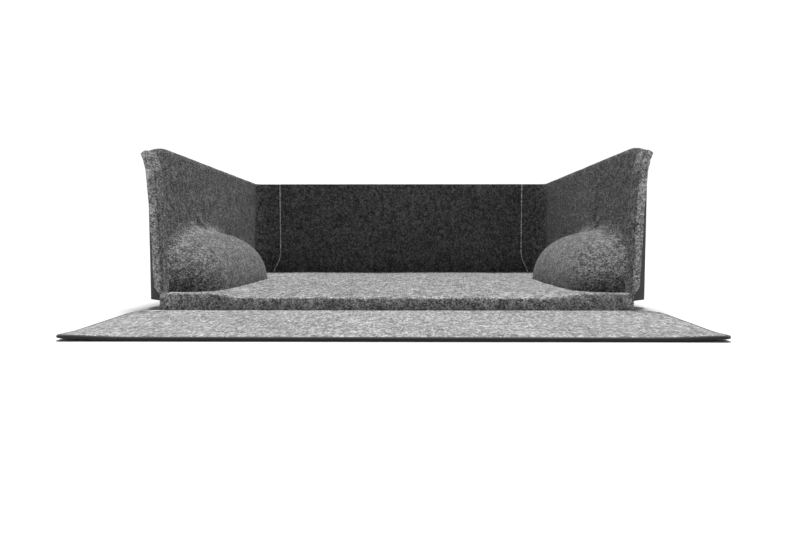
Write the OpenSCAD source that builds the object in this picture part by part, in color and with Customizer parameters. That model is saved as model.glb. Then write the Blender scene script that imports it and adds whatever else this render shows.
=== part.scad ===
// Carpeted pickup bed liner, as fitted, with its tailgate section folded out flat.
// X is to the right, Y is forward to the cab and Z is up. The origin is the centre
// of the floor section's underside, which lies on the bed floor. Sizes are in mm.

/* [Bed] */
// Length of the floor section, from the tailgate end to the front section
bed_length = 1700; // [1650:10:1800]
// Width across the outer faces of the two side sections
bed_width = 1680; // [1640:10:1720]
// Height of the side and front sections above the bed floor
wall_height = 525; // [500:5:560]
// Clear width between the two rear pillars, over the carpet
pillar_gap = 1484; // [1470:2:1520]
// Length of the pillar's inner face, along Y
pillar_length = 60; // [50:5:70]

/* [Layers] */
// Thickness of the carpet on the side and front sections
carpet_thick = 4; // [3:0.5:5]
// Thickness of the foam behind the side and front carpets
foam_thick = 5; // [4:0.5:7]
// Thickness of the carpet on the floor section
floor_carpet_thick = 5; // [4:0.5:6]
// Thickness of the foam under the floor carpet
floor_foam_thick = 15; // [10:1:18]

/* [Wheel wells] */
// Distance between the inner faces of the two wheel wells, over the carpet
well_gap = 1238; // [1230:2:1290]
// Length of a wheel well along the wall
well_length = 950; // [800:5:1120]
// Height of a wheel well above the bed floor
well_height = 235; // [200:1:250]
// Distance from the tailgate end of the floor to the start of a wheel well
well_start = 205; // [155:1:320]
// Squareness of the wheel well's footprint, where 2 is an ellipse
footprint_power = 4.6; // [4:0.1:8]
// Squareness of the wheel well's cross-section, where 2 is an ellipse
dome_power = 2.26; // [2:0.01:3]

/* [Rear returns] */
// Width of the strip that wraps onto the rear face of each pillar
return_width = 30; // [26:1:36]
// Height at which the strip ends
return_top = 492; // [470:1:500]
// Height of the strip's lowest point, just above the floor carpet
return_bottom = 22; // [21:1:26]
// Rise of the strip's slanted lower end, from its inner to its outer edge
return_slant = 30; // [16:1:36]

/* [Front section] */
// Width of the front section over its straight part
front_width = 1396; // [1360:2:1420]
// Extra width on each side where the front section flares out at the floor
front_flare = 50; // [30:1:56]
// Height at which the flare begins
flare_height = 110; // [90:5:140]
// Overlap of the front section over the side sections' front returns
front_overlap = 60; // [40:2:70]

/* [Hinge flap] */
// Drop from the floor carpet's face to the tailgate carpet's face
step_down = 38; // [36:1:40]
// Thickness of the flap
flap_thick = 4; // [3:0.5:4]
// Width of the flap, side to side
flap_width = 1490; // [1480:2:1500]

/* [Tailgate section] */
// Length of the tailgate section along Y
gate_length = 563; // [540:1:580]
// Width of the tailgate section near its hinge end
gate_width = 1604; // [1580:2:1620]
// Width of the tailgate section at its free end
gate_end_width = 1510; // [1490:2:1530]
// Radius of the two corners at the hinge end
gate_hinge_radius = 62; // [40:1:70]
// Radius of the two corners at the free end
gate_end_radius = 18; // [10:1:30]
// Thickness of the tailgate carpet
gate_carpet_thick = 4; // [3:0.5:4]
// Thickness of the tailgate foam
gate_foam_thick = 6; // [5:0.5:7]
// Thickness of the edge binding
binding_thick = 2; // [1.5:0.1:2.5]

/* [Zipper] */
// Width of the zipper, coil and both tapes, that shows between flap and tailgate section
zipper_length = 1476; // [1460:2:1480]
// Width of each row of the coil
coil_width = 2.4; // [2:0.1:2.6]
// Height of the coil
coil_height = 2; // [1.6:0.1:2.2]
// Gap between the two rows, which the slider's post runs in
coil_slit = 0.8; // [0.6:0.1:1]
// Length of the slider
slider_length = 16; // [14:1:18]
// Width of the slider
slider_width = 11; // [10:0.5:11.5]
// Length of the pull tab
pull_length = 26; // [20:1:30]

/* [Fastening] */
// Width of a hook strip
hook_width = 25; // [20:1:30]
// Thickness of a hook strip, which is let in flush
hook_thick = 2; // [1.5:0.1:2.5]

/* [Hidden] */

// Bed
wall_out = bed_width / 2;
wall_thick = carpet_thick + foam_thick;
wall_in = wall_out - wall_thick;
floor_top = floor_foam_thick + floor_carpet_thick;
rear_y = -bed_length / 2;
front_y = bed_length / 2;
cut = 1;

// Side section's outer face, from the rear return round to the front return
return_plane = rear_y + 5;
pillar_x = pillar_gap / 2 + wall_thick;
pillar_end = rear_y + pillar_length;
pillar_run = wall_out - pillar_x;
front_return = front_width / 2 - front_overlap;
side_path = rounded_path(
    [
        [pillar_gap / 2 + return_width, return_plane], [pillar_x, return_plane],
        [pillar_x, pillar_end], [wall_out, pillar_end + pillar_run],
        [wall_out, front_y], [front_return, front_y]
    ],
    [0, 4, 20, 45, 45, 0]
);
return_clear = 2;

// Wheel wells
well_depth = wall_in - well_gap / 2;
well_half = well_length / 2;
well_y = rear_y + well_start + well_half;
round_steps = 28;
rise_steps = 8;

// Floor section
floor_gap = 2;
floor_front_y = front_y - wall_thick - carpet_thick - foam_thick - floor_gap;
nose_thick = 4;
nose_radius = 3.9;

// Front section
panel_y = front_y - wall_thick - 0.5;
panel_face_y = panel_y - wall_thick;

// Tailgate section
gate_top = floor_top - step_down;
gate_bottom = gate_top - gate_carpet_thick - gate_foam_thick;
gate_seam = gate_top - gate_carpet_thick;
gate_front_y = rear_y - 24;
gate_rear_y = gate_front_y - gate_length;
gate_half = gate_width / 2;
gate_end_half = gate_end_width / 2;
gate_outline = rounded_loop(
    [
        [gate_half, gate_front_y], [gate_half, gate_front_y - 90],
        [gate_end_half, gate_rear_y], [-gate_end_half, gate_rear_y],
        [-gate_half, gate_front_y - 90], [-gate_half, gate_front_y]
    ],
    [gate_hinge_radius, 60, gate_end_radius, gate_end_radius, 60, gate_hinge_radius]
);

// Hinge flap
flap_face_y = rear_y - 0.2;
flap_top = floor_top - 7;
toe_end_y = rear_y - 6;

// Zipper
zip_y = rear_y - 14;
tape_thick = 0.6;
tape_top = gate_seam;
zip_z = tape_top - tape_thick / 2;
zip_clear = 0.5;
plate_thick = 1.2;
slider_half_height = coil_height / 2 + zip_clear + plate_thick;
slider_x = zipper_length / 2 - slider_length / 2 - 4;
pull_thick = 1.2;
pull_width = 7;
pull_pin_x = slider_x + slider_length / 2 - 4;
pull_pin_radius = 0.8;
pull_z = zip_z + slider_half_height + 1.5;

// Hook strips
side_strip_height = wall_height - 70;
side_strip_lower = 300;
side_strips = [
    [rear_y + 270, side_strip_height], [rear_y + 620, side_strip_height],
    [rear_y + 970, side_strip_height], [rear_y + 1320, side_strip_height],
    [rear_y + 1320, side_strip_lower]
];
side_strip_length = 200;
front_strips = [-500, 0, 500];
front_strip_length = 220;
gate_strip_length = 300;
gate_strips = [
    for (x = [-600, -200, 200, 600], y = [gate_front_y - 90, gate_rear_y + 70]) [x, y]
];

carpet_colour = [0.55, 0.55, 0.55];
wall_colour = [0.40, 0.40, 0.40];
foam_colour = [0.16, 0.16, 0.17];
black = [0.08, 0.08, 0.08];
metal = [0.45, 0.45, 0.46];

function unit(v) = v / norm(v);
function left_of(v) = [-v[1], v[0]];
function turn(from, to) = (to - from + 900) % 360 - 180;

// Points of the arc that rounds the corner at b, between a and c
function corner(a, b, c, r, steps = 6) =
    let (
        u = unit(a - b), v = unit(c - b),
        half = acos(u * v) / 2,
        centre = b + unit(u + v) * r / sin(half),
        p = b + u * r / tan(half) - centre,
        q = b + v * r / tan(half) - centre,
        from = atan2(p[1], p[0]),
        sweep = turn(from, atan2(q[1], q[0]))
    )
    [
        for (i = [0:steps])
            centre + r * [cos(from + sweep * i / steps), sin(from + sweep * i / steps)]
    ];

function corner_or_point(a, b, c, r) = r > 0 ? corner(a, b, c, r) : [b];

// An open path with its inner corners rounded
function rounded_path(points, radii) = [
    points[0],
    for (i = [1:len(points) - 2])
        each corner_or_point(points[i - 1], points[i], points[i + 1], radii[i]),
    points[len(points) - 1]
];

// A closed outline with its corners rounded
function rounded_loop(points, radii) =
    let (n = len(points))
    [
        for (i = [0:n - 1])
            each corner_or_point(points[(i + n - 1) % n], points[i], points[(i + 1) % n], radii[i])
    ];

// Where a point moves when its two neighbouring edges, with left normals m and n, move by d
function shifted(p, m, n, d) = p + (m + n) * d / (1 + m * n);

// An open path moved to its left by d
function beside(path, d) =
    let (
        last = len(path) - 1,
        normals = [for (i = [0:last - 1]) left_of(unit(path[i + 1] - path[i]))]
    )
    [
        for (i = [0:last])
            shifted(path[i], normals[max(i - 1, 0)], normals[min(i, last - 1)], d)
    ];

// A closed outline moved to its left by d
function around(loop, d) =
    let (
        n = len(loop),
        normals = [for (i = [0:n - 1]) left_of(unit(loop[(i + 1) % n] - loop[i]))]
    )
    [for (i = [0:n - 1]) shifted(loop[i], normals[(i + n - 1) % n], normals[i], d)];

function reversed(list) = [for (i = [len(list) - 1:-1:0]) list[i]];

// Distance from the middle to a rounded square of half-width 1, in the direction given
function squircle(angle, power) =
    pow(pow(abs(cos(angle)), power) + pow(abs(sin(angle)), power), -1 / power);

// A point of the wheel well's surface, drawn in by inset on its top, front, rear and side
function well_point(round_angle, rise, inset) =
    let (
        across = sin(round_angle) * squircle(round_angle, footprint_power),
        along = -cos(round_angle) * squircle(round_angle, footprint_power),
        out = cos(rise) * squircle(rise, dome_power),
        up = sin(rise) * squircle(rise, dome_power)
    )
    [
        wall_in - (well_depth - inset) * across * out,
        well_y + (well_half - inset) * along * out,
        (well_height - inset) * up
    ];

// The wheel well's outline on the floor
function footprint(inset) = [
    for (i = [0:round_steps])
        let (p = well_point(180 * i / round_steps, 0, inset)) [p[0], p[1]]
];

// The wheel well's outline on the wall
function arch(inset) = [
    for (end = [0, 180], i = [0:rise_steps])
        let (
            rise = end == 0 ? 90 * i / rise_steps : 90 - 90 * i / rise_steps,
            p = well_point(end, rise, inset)
        )
        [p[1], p[2]]
];

// Triangles of a sheet of points, cols by rows, whose last row is the single point top
function sheet_faces(first, cols, rows, top, flip) = [
    for (i = [0:cols - 2], j = [0:rows - 2])
        let (a = first + i * rows + j, b = a + rows)
        each (
            flip ? [[a, a + 1, b], [b, a + 1, b + 1]]
                : [[a, b, a + 1], [b, b + 1, a + 1]]
        ),
    for (i = [0:cols - 2])
        let (a = first + i * rows + rows - 1, b = a + rows)
        flip ? [a, top, b] : [a, b, top]
];

// The dome-shaped shell of a wheel well between two insets
module well_shell(outer, inner) {
    cols = round_steps + 1;
    rows = rise_steps;
    count = cols * rows;
    sheets = [
        for (inset = [outer, inner], i = [0:round_steps], j = [0:rise_steps - 1])
            well_point(180 * i / round_steps, 90 * j / rise_steps, inset)
    ];
    tops = [for (inset = [outer, inner]) [wall_in, well_y, well_height - inset]];
    top = 2 * count;
    last = (cols - 1) * rows;
    base = [
        for (i = [0:cols - 2])
            let (a = i * rows, b = a + rows)
            each [[a, a + count, b], [b, a + count, b + count]]
    ];
    rear_edge = [
        for (j = [0:rows - 1])
            let (b = j == rows - 1 ? top : j + 1, d = j == rows - 1 ? top + 1 : j + 1 + count)
            each [[j, b, j + count], [b, d, j + count]]
    ];
    front_edge = [
        for (j = [0:rows - 1])
            let (
                a = last + j,
                b = j == rows - 1 ? top : a + 1,
                d = j == rows - 1 ? top + 1 : a + 1 + count
            )
            each [[a, a + count, b], [b, a + count, d]]
    ];
    polyhedron(
        points = concat(sheets, tops),
        faces = concat(
            sheet_faces(0, cols, rows, top, false),
            sheet_faces(count, cols, rows, top + 1, true),
            base, rear_edge, front_edge
        )
    );
}

// The right-hand part of a pair, or its mirror image for the left
module on_side(side) {
    if (side == "left")
        mirror([1, 0, 0]) children();
    else
        children();
}

// Extrudes a Y-Z outline along X, from x
module along_x(x, length) {
    translate([x, 0, 0])
        rotate([90, 0, 90])
            linear_extrude(length)
                children();
}

// Extrudes an X-Z outline along Y, from y
module along_y(y, length) {
    translate([0, y + length, 0])
        rotate([90, 0, 0])
            linear_extrude(length)
                children();
}

// One layer of a side section, between two distances from its outer face
module side_layer(from, to) {
    inner_x = pillar_gap / 2;
    outer_x = inner_x + return_width;
    difference() {
        linear_extrude(wall_height)
            polygon(concat(beside(side_path, from), reversed(beside(side_path, to))));
        along_x(wall_in - cut, wall_thick + 2 * cut)
            polygon(arch(wall_thick));
        // The rear return stops short of the floor with a slanted end
        along_y(return_plane - wall_thick - cut, wall_thick + cut + return_clear)
            polygon([
                [inner_x - 10, -cut], [outer_x + 10, -cut],
                [outer_x + 10, return_bottom + return_slant],
                [outer_x, return_bottom + return_slant], [inner_x - 10, return_bottom - 3]
            ]);
        // and is rounded off at its top
        along_y(return_plane - wall_thick - cut, wall_thick + cut + return_clear)
            polygon([
                [inner_x - 10, return_top], [inner_x + return_width / 2, return_top],
                [outer_x + 10, return_top - 12],
                [outer_x + 10, wall_height + cut], [inner_x - 10, wall_height + cut]
            ]);
    }
}

module side_strip_places() {
    for (place = side_strips)
        translate([wall_out - hook_thick, place[0], place[1]])
            cube([hook_thick, side_strip_length, hook_width]);
}

module side_carpet(side) {
    color(wall_colour)
        on_side(side)
            side_layer(foam_thick, wall_thick);
}

module side_foam(side) {
    color(foam_colour)
        on_side(side)
            difference() {
                side_layer(0, foam_thick);
                side_strip_places();
            }
}

module wheel_well_carpet(side) {
    color(wall_colour)
        on_side(side)
            well_shell(0, carpet_thick);
}

module wheel_well_foam(side) {
    color(foam_colour)
        on_side(side)
            well_shell(carpet_thick, wall_thick);
}

module hook_strips(side) {
    color(black)
        on_side(side)
            side_strip_places();
}

// Plan of the floor section, from y_start forward, before the wheel wells are cut out
module floor_plan(y_start) {
    edge = beside(side_path, wall_thick + floor_gap);
    right = [
        [edge[0][0], 0],
        for (p = edge) if (p[1] > y_start && p[1] < floor_front_y - 40 && p[0] > pillar_gap / 2 - 3) p
    ];
    side = [for (i = [1:len(right) - 1]) right[i]];
    rear_x = pillar_gap / 2 - floor_gap;
    front_x = wall_in - floor_gap;
    half = concat([[rear_x, y_start]], side, [[front_x, floor_front_y - 40], [front_x - 34, floor_front_y]]);
    polygon(concat(half, reversed([for (p = half) [-p[0], p[1]]])));
}

module floor_layer(y_start, bottom, top) {
    difference() {
        translate([0, 0, bottom])
            linear_extrude(top - bottom)
                floor_plan(y_start);
        for (side = ["left", "right"])
            on_side(side)
                translate([0, 0, bottom - cut])
                    linear_extrude(top - bottom + 2 * cut)
                        polygon(concat(
                            footprint(-floor_gap),
                            [[wall_out, well_y + well_half + floor_gap], [wall_out, rear_y + well_start - floor_gap]]
                        ));
    }
}

// The floor carpet turns down over the rear edge of the foam in a rounded nose
module floor_carpet() {
    nose_half = pillar_gap / 2 - floor_gap;
    color(carpet_colour)
        union() {
            floor_layer(rear_y + nose_thick, floor_foam_thick, floor_top);
            along_x(-nose_half, 2 * nose_half)
                polygon(rounded_loop(
                    [
                        [rear_y + nose_thick, 0], [rear_y, 0], [rear_y, floor_top],
                        [rear_y + nose_thick, floor_top]
                    ],
                    [0, 0, nose_radius, 0]
                ));
        }
}

module floor_foam() {
    color(foam_colour)
        floor_layer(rear_y + nose_thick, 0, floor_foam_thick);
}

// The flap hangs from the floor's rear edge and turns back under the zipper
module hinge_flap() {
    color(wall_colour)
        along_x(-flap_width / 2, flap_width)
            polygon([
                [flap_face_y, flap_top], [flap_face_y, tape_top - tape_thick - flap_thick],
                [toe_end_y, tape_top - tape_thick - flap_thick], [toe_end_y, tape_top - tape_thick],
                [flap_face_y - flap_thick, tape_top - tape_thick], [flap_face_y - flap_thick, flap_top]
            ]);
}

// Outline of the front section, seen from behind
module front_outline(half_width) {
    flare_x = half_width + front_flare;
    side = rounded_path(
        [[half_width, wall_height], [half_width, flare_height], [flare_x, 0]],
        [0, 150, 0]
    );
    polygon(concat(side, reversed([for (p = side) [-p[0], p[1]]])));
}

module front_strip_places() {
    for (x = front_strips)
        translate([x - front_strip_length / 2, front_y - hook_thick, wall_height - 70])
            cube([front_strip_length, hook_thick, hook_width]);
}

module front_carpet() {
    color(wall_colour)
        along_y(panel_face_y, carpet_thick)
            front_outline(front_width / 2);
}

// The foam is thin where it laps over the side sections and full behind the middle
module front_foam() {
    middle = front_return - floor_gap;
    color(foam_colour)
        difference() {
            union() {
                along_y(panel_face_y + carpet_thick, foam_thick)
                    front_outline(front_width / 2);
                translate([-middle, panel_y - cut, 0])
                    cube([2 * middle, front_y - panel_y + cut, wall_height]);
            }
            front_strip_places();
        }
}

module front_hook_strips() {
    color(black)
        front_strip_places();
}

module gate_strip_places() {
    for (place = gate_strips)
        translate([place[0] - gate_strip_length / 2, place[1] - hook_width / 2, gate_bottom])
            cube([gate_strip_length, hook_width, hook_thick]);
}

module gate_tape_place() {
    translate([-zipper_length / 2, gate_front_y - 18, tape_top - tape_thick])
        cube([zipper_length, gate_rear_tape_y() - gate_front_y + 18, tape_thick]);
}

// The tape that is sewn to the tailgate section ends under its row of the coil
function gate_rear_tape_y() = zip_y - coil_slit / 2 - coil_width;

module tailgate_carpet() {
    color(carpet_colour)
        translate([0, 0, gate_seam])
            linear_extrude(gate_carpet_thick)
                polygon(gate_outline);
}

module tailgate_foam() {
    color(foam_colour)
        difference() {
            translate([0, 0, gate_bottom])
                linear_extrude(gate_foam_thick)
                    polygon(gate_outline);
            gate_strip_places();
            gate_tape_place();
        }
}

// The binding runs round the edge and leaves a slot for the zipper tape
module tailgate_edge_binding() {
    color(black)
        difference() {
            translate([0, 0, gate_bottom + 1])
                linear_extrude(gate_top - gate_bottom - 1.5)
                    polygon(around(gate_outline, binding_thick));
            translate([0, 0, gate_bottom])
                linear_extrude(gate_top - gate_bottom)
                    polygon(gate_outline);
            gate_tape_place();
        }
}

module tailgate_hook_strips() {
    color(black)
        gate_strip_places();
}

// A plain woven tag, with nothing on it, near the left hinge corner
module blank_tag() {
    color([0.85, 0.85, 0.85])
        translate([-gate_half + 34, gate_front_y - 42, gate_top])
            cube([46, 16, 0.8]);
}

module zipper_tape_gate_side() {
    color(black)
        gate_tape_place();
}

module zipper_tape_flap_side() {
    start = zip_y + coil_slit / 2 + coil_width;
    color(black)
        translate([-zipper_length / 2, start, tape_top - tape_thick])
            cube([zipper_length, flap_face_y - flap_thick - start, tape_thick]);
}

module zipper_coils() {
    for (row = [-1, 1])
        color(foam_colour)
            translate([
                -zipper_length / 2,
                zip_y + row * (coil_slit + coil_width) / 2 - coil_width / 2,
                zip_z - coil_height / 2
            ])
                cube([zipper_length, coil_width, coil_height]);
}

module zipper_end_stops() {
    stop_half = coil_slit / 2 + coil_width;
    for (end = [-1, 1])
        color(metal)
            translate([end * (zipper_length / 2 + 1), zip_y, zip_z])
                cube([2, 2 * stop_half, coil_height + 0.8], center = true);
}

// Two plates joined by a post, with low flanges along their sides and ears for the pull's pin
module zipper_slider() {
    plate = [slider_length, slider_width, plate_thick];
    flange_height = 0.9;
    ear = [4, 1.2, 2.4];
    color(metal)
        translate([slider_x, zip_y, zip_z])
            difference() {
                union() {
                    for (side = [-1, 1]) {
                        translate([0, 0, side * (slider_half_height - plate_thick / 2)])
                            cube(plate, center = true);
                        for (edge = [-1, 1])
                            translate([
                                0, edge * (slider_width / 2 - 0.6),
                                side * (slider_half_height - plate_thick - flange_height / 2 + 0.05)
                            ])
                                cube([slider_length, 1.2, flange_height], center = true);
                    }
                    cube([3, coil_slit - 0.3, 2 * slider_half_height - 0.4], center = true);
                    for (edge = [-1, 1])
                        translate([
                            pull_pin_x - slider_x, edge * (pull_width / 2 + 0.3 + ear[1] / 2),
                            slider_half_height + ear[2] / 2 - 0.1
                        ])
                            cube(ear, center = true);
                }
                translate([pull_pin_x - slider_x, 0, pull_z - zip_z])
                    rotate([90, 0, 0])
                        cylinder(h = slider_width, r = pull_pin_radius + 0.05, center = true, $fn = 32);
            }
}

// A flat tab that turns on its own pin
module zipper_pull() {
    color(metal)
        union() {
            translate([pull_pin_x, zip_y, pull_z])
                rotate([90, 0, 0])
                    cylinder(h = pull_width + 2.4, r = pull_pin_radius, center = true, $fn = 32);
            difference() {
                translate([pull_pin_x - pull_length, zip_y - pull_width / 2, pull_z - pull_thick / 2])
                    cube([pull_length, pull_width, pull_thick]);
                translate([pull_pin_x - pull_length + 5, zip_y, pull_z])
                    cylinder(h = 3 * pull_thick, r = 1.8, center = true, $fn = 32);
            }
        }
}

floor_carpet();
floor_foam();
hinge_flap();
side_carpet("left");  // left_side_carpet
side_foam("left");  // left_side_foam
wheel_well_carpet("left");  // left_wheel_well_carpet
wheel_well_foam("left");  // left_wheel_well_foam
hook_strips("left");  // left_hook_strips
side_carpet("right");  // right_side_carpet
side_foam("right");  // right_side_foam
wheel_well_carpet("right");  // right_wheel_well_carpet
wheel_well_foam("right");  // right_wheel_well_foam
hook_strips("right");  // right_hook_strips
front_carpet();
front_foam();
front_hook_strips();
tailgate_carpet();
tailgate_foam();
tailgate_edge_binding();
tailgate_hook_strips();
blank_tag();
zipper_tape_flap_side();
zipper_tape_gate_side();
zipper_coils();
zipper_end_stops();
zipper_slider();
zipper_pull();
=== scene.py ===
"""The looks of a carpeted truck bed liner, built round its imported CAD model.

Everything is in metres in the CAD model's frame: X to the right, Y forward to the cab, Z up,
with the origin at the centre of the floor section's underside.
"""

import math

import bmesh
import bpy
import numpy as np
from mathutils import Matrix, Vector, noise


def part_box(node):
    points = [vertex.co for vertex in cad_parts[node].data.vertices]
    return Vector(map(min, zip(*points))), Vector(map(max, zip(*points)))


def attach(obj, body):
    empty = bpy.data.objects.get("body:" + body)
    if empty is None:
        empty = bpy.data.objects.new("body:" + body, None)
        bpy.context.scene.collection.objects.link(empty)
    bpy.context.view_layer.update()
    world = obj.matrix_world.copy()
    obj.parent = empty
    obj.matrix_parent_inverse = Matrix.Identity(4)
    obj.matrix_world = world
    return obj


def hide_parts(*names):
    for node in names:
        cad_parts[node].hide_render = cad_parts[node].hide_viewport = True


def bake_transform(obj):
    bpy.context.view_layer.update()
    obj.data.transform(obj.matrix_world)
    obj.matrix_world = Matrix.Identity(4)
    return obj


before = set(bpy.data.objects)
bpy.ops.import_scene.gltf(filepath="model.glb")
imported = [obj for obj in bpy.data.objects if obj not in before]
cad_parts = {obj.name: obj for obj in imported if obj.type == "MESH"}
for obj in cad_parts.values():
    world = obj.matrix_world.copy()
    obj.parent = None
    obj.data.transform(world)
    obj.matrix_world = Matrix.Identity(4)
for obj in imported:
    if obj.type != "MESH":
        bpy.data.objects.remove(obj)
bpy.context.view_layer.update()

BED = "bed_section"
GATE = "tailgate_section"

# ---- sizes from the CAD model

side_low, side_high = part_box("right_side_foam")
skin_low, skin_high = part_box("right_side_carpet")
well_low, well_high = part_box("right_wheel_well_carpet")
floor_low, floor_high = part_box("floor_carpet")
foam_low, foam_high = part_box("floor_foam")
gate_low, gate_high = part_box("tailgate_carpet")
gate_foam_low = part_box("tailgate_foam")[0]
flap_low, flap_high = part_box("hinge_flap")
front_low, front_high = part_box("front_carpet")
front_foam_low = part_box("front_foam")[0]
coil_low, coil_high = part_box("zipper_coils")
tag_low, tag_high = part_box("blank_tag")

WALL_OUT = side_high.x
WALL_IN = well_high.x
WALL_TOP = side_high.z
WALL_THICK = WALL_OUT - WALL_IN
SKIN_THICK = skin_high.x - WALL_IN
REAR_Y = floor_low.y
FRONT_Y = side_high.y
RETURN_Y = skin_low.y + WALL_THICK
FRONT_RETURN_X = side_low.x
FLOOR_TOP = floor_high.z
FLOOR_SKIN = floor_high.z - foam_high.z
WELL_DEPTH = well_high.x - well_low.x
WELL_HALF = (well_high.y - well_low.y) / 2
WELL_Y = (well_high.y + well_low.y) / 2
WELL_TOP = well_high.z

# ---- sizes of the looks

PILLAR_FACE = flap_high.x - 0.003
PILLAR_LENGTH = 0.060
PILLAR_DROP = 0.046  # how far the wall's top edge dips at the pillar
RETURN_WIDTH = 0.027
CORNER_RADIUS = 0.045  # of the wall's own corners in plan
FOOTPRINT_POWER = 4.6  # squareness of the wheel well in plan
DOME_POWER = 2.26  # squareness of its cross-section
WELL_BLEND = 0.055  # reach of the blend between wheel well and wall
HOOK_RISE = 0.0012  # room behind the foam for the hook strips
FLOOR_GAP = 0.002  # between the floor section and the pieces beside it
FLOOR_CENTRE = 0.60  # half-width of the floor's grid that runs straight
NOSE = 0.008  # radius of the floor's rear edge
LIP_RISE = 0.0135
CORNER_LIFT = 0.0045
GATE_END_HALF = 0.755
GATE_SHOULDER = 0.090
RIBS = 900.0  # of a woven tape, in radians per metre
LAMP = 6.3
SKY_AHEAD, SKY_BESIDE, SKY_BEHIND, SKY_ABOVE = 1.04, 0.42, 0.90, 0.12


# ---- plan outlines


def unit(v):
    return v / np.linalg.norm(v)


def corner(a, b, c, radius, steps):
    """Points of the arc that rounds the corner at b."""
    if radius <= 0:
        return [b]
    u, v = unit(a - b), unit(c - b)
    half = math.acos(float(np.clip(u @ v, -1, 1))) / 2
    centre = b + unit(u + v) * radius / math.sin(half)
    p = b + u * radius / math.tan(half) - centre
    q = b + v * radius / math.tan(half) - centre
    start = math.atan2(p[1], p[0])
    sweep = (math.atan2(q[1], q[0]) - start + 3 * math.pi) % (2 * math.pi) - math.pi
    angles = start + sweep * np.linspace(0, 1, steps + 1)
    return list(centre + radius * np.stack([np.cos(angles), np.sin(angles)], 1))


def rounded(points, radii, steps=8):
    """An outline with rounded corners. A radius of 0 keeps a point, as at a path's two ends."""
    points = [np.array(p, float) for p in points]
    found = []
    for i, p in enumerate(points):
        found += corner(points[i - 1], p, points[(i + 1) % len(points)], radii[i], steps)
    return np.array(found)


def beside(path, distance):
    """An open path moved to its left."""
    along = np.diff(path, axis=0)
    along /= np.linalg.norm(along, axis=1)[:, None]
    left = np.stack([-along[:, 1], along[:, 0]], 1)
    before = np.vstack([left[:1], left])
    after = np.vstack([left, left[-1:]])
    share = 1 + (before * after).sum(1)
    return path + (before + after) * (distance / share)[:, None]


def spaced(path, step):
    """The path with points added, so that no stretch is longer than step."""
    found = [path[0]]
    for a, b in zip(path[:-1], path[1:]):
        count = max(1, math.ceil(np.linalg.norm(b - a) / step))
        found += [a + (b - a) * k / count for k in range(1, count + 1)]
    return np.array(found)


def smoothstep(low, high, x):
    t = np.clip((np.asarray(x, float) - low) / (high - low), 0, 1)
    return t * t * (3 - 2 * t)


PILLAR_X = PILLAR_FACE + WALL_THICK
PILLAR_RUN = WALL_OUT - PILLAR_X
PILLAR_END = REAR_Y + PILLAR_LENGTH
outer_path = rounded(
    [
        (PILLAR_FACE + RETURN_WIDTH, RETURN_Y),
        (PILLAR_X, RETURN_Y),
        (PILLAR_X, PILLAR_END),
        (WALL_OUT, PILLAR_END + PILLAR_RUN),
        (WALL_OUT, FRONT_Y),
        (FRONT_RETURN_X, FRONT_Y),
    ],
    [0, 0.004, 0.020, CORNER_RADIUS, CORNER_RADIUS, 0],
)
face_path = beside(outer_path, WALL_THICK)

# ---- mesh building


def make_object(name, verts, faces):
    mesh = bpy.data.meshes.new(name)
    mesh.from_pydata([tuple(v) for v in verts], [], [tuple(f) for f in faces])
    mesh.validate()
    obj = bpy.data.objects.new(name, mesh)
    bpy.context.scene.collection.objects.link(obj)
    return obj


def shade(obj, angle=38):
    """Smooth shading, with edges sharper than the angle left sharp."""
    obj.data.polygons.foreach_set("use_smooth", [True] * len(obj.data.polygons))
    obj.data.set_sharp_from_angle(angle=math.radians(angle))


def solid(name, verts, faces, angle=38):
    """A closed piece, or several in one object, with every face turned outward."""
    obj = make_object(name, verts, faces)
    mesh = bmesh.new()
    mesh.from_mesh(obj.data)
    bmesh.ops.recalc_face_normals(mesh, faces=mesh.faces[:])
    mesh.to_mesh(obj.data)
    mesh.free()
    shade(obj, angle)
    return obj


def soften_edges(obj, width):
    """Rounds the sharp edges, and keeps the result as the mesh."""
    bevel = obj.modifiers.new("soft_edges", "BEVEL")
    bevel.width = width
    bevel.segments = 2
    bevel.limit_method = "ANGLE"
    bevel.angle_limit = math.radians(45)
    graph = bpy.context.evaluated_depsgraph_get()
    mesh = bpy.data.meshes.new_from_object(obj.evaluated_get(graph), depsgraph=graph)
    obj.modifiers.clear()
    old = obj.data
    obj.data = mesh
    bpy.data.meshes.remove(old)
    shade(obj)


def normals_of(verts, faces):
    """Each vertex's normal, as the area-weighted mean of its faces' normals."""
    total = np.zeros_like(verts)
    for size in (3, 4):
        group = np.array([f for f in faces if len(f) == size])
        if not len(group):
            continue
        p = verts[group]
        area = np.cross(p[:, 2] - p[:, 0], p[:, -1] - p[:, 1])
        for k in range(size):
            np.add.at(total, group[:, k], area)
    length = np.linalg.norm(total, axis=1)
    return total / np.maximum(length, 1e-12)[:, None]


def grid_faces(rows, columns):
    """Quads of a grid whose points run column by column within each row."""
    return [
        (r * columns + c, r * columns + c + 1, (r + 1) * columns + c + 1, (r + 1) * columns + c)
        for r in range(rows - 1)
        for c in range(columns - 1)
    ]


def ring_faces(first, count, rings):
    """The side faces of rings of count points each, and a face over each end."""
    faces = []
    for r in range(first, first + (rings - 1) * count, count):
        for k in range(count):
            p, q = r + k, r + (k + 1) % count
            faces.append((p, q, q + count, p + count))
    faces.append(tuple(range(first, first + count))[::-1])
    last = first + (rings - 1) * count
    faces.append(tuple(range(last, last + count)))
    return faces


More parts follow.
